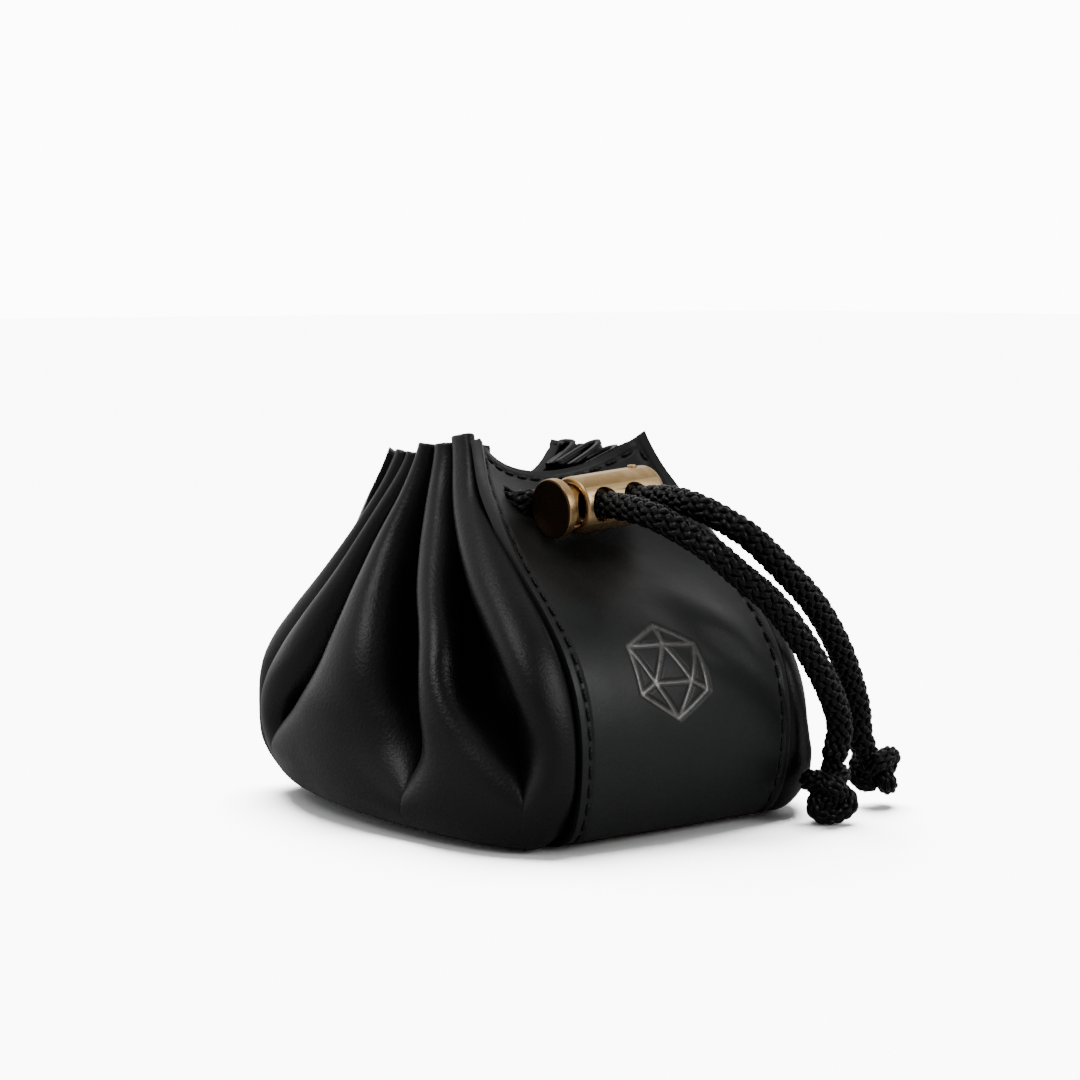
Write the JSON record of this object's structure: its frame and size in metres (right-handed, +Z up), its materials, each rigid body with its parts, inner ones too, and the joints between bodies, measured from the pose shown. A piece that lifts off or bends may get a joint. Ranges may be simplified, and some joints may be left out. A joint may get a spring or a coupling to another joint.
{
  "type": "drawstring dice bag",
  "caption": "Small black leather pouch with pleated side gussets, a scooped mouth closed by a braided drawstring, and a sprung brass cord lock; it holds gaming dice.",
  "frame": {"origin": "on the floor, under the middle of the bag without its free cord ends and knots", "axes": "+X across the front panel towards its right side as seen from the front, -Y out of the front panel, +Z up out of the mouth"},
  "size_m": [0.1007, 0.1105, 0.0742],
  "materials": {
    "band_leather": "smooth satin black leather",
    "gusset_leather": "soft black nappa with fine creases and a low sheen",
    "lining": "black matte suede",
    "seam_strip": "raw cut black leather edge, rough",
    "thread": "waxed black thread",
    "braided_cord": "black round braid with a dull sheen",
    "antique_brass": "antique brass, brushed and darkened, bright on its edges",
    "spring_steel": "bright spring wire"
  },
  "bodies": {
    "pouch": {"band_base_and_back": "band_leather", "lining_back": "lining", "gusset_left": "gusset_leather", "gusset_right": "gusset_leather", "welt_left_back": "seam_strip", "welt_right_back": "seam_strip", "thread_left_back": "thread", "thread_right_back": "thread", "thread_mouth_back": "thread", "drawstring_loop": "braided_cord", "knot_left": "braided_cord", "knot_right": "braided_cord"},
    "front_panel": {"band_front": "band_leather", "lining_front": "lining", "welt_left_front": "seam_strip", "welt_right_front": "seam_strip", "thread_left_front": "thread", "thread_right_front": "thread", "thread_mouth_front": "thread", "cord_left": "braided_cord", "cord_right": "braided_cord"},
    "lock": {"lock_barrel": "antique_brass", "retaining_pin": "antique_brass", "lock_spring": "spring_steel"},
    "plunger": {"lock_plunger": "antique_brass"}
  },
  "joints": [
    {"name": "mouth_open", "type": "hinge", "parent": "pouch", "child": "front_panel", "pos_m": [0, -0.041, 0.0003], "axis": [1, 0, 0], "range_deg": [0, 18], "deforming": ["gusset_left", "gusset_right", "drawstring_loop", "cord_left", "cord_right"]},
    {"name": "lock_slide", "type": "slide", "parent": "front_panel", "child": "lock", "axis": [0, -1, 0], "range_m": [0, 0.012], "deforming": ["drawstring_loop", "cord_left", "cord_right"]},
    {"name": "button_press", "type": "slide", "parent": "lock", "child": "plunger", "axis": [0.9969, 0, 0.0785], "range_m": [0, 0.0025], "stiffness_N_per_m": 900, "springref_m": -0.0015, "deforming": ["lock_spring"]}
  ]
}
